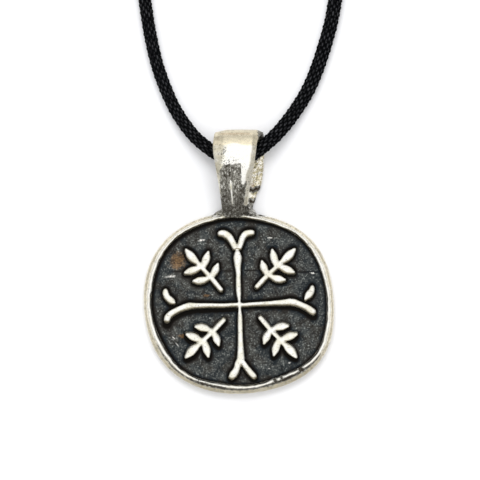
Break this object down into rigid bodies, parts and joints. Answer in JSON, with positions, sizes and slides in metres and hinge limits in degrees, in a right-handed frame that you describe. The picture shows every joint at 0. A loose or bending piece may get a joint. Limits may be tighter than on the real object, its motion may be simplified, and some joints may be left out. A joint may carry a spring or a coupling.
{
  "type": "cross pendant",
  "caption": "Round cast pendant with a raised rim, a fork-ended cross between leaf sprigs and a soldered strap bail, on a braided neck cord with a barrel clasp.",
  "frame": {"origin": "middle of the disc's back face, which lies on the surface", "axes": "+Z out of the face, +Y from the middle of the disc to the bail, +X to the right as the face is looked at"},
  "size_m": [0.0618, 0.2385, 0.0061],
  "materials": {
    "antiqued_silver": "warm silver plate, blackened in the sunken field and rubbed bright on the raised work",
    "braided_cord": "fine braid, lightly waxed",
    "clasp_metal": "polished"
  },
  "bodies": {
    "root": {"pendant": "antiqued_silver", "cord": "braided_cord", "clasp": "clasp_metal"}
  },
  "joints": []
}
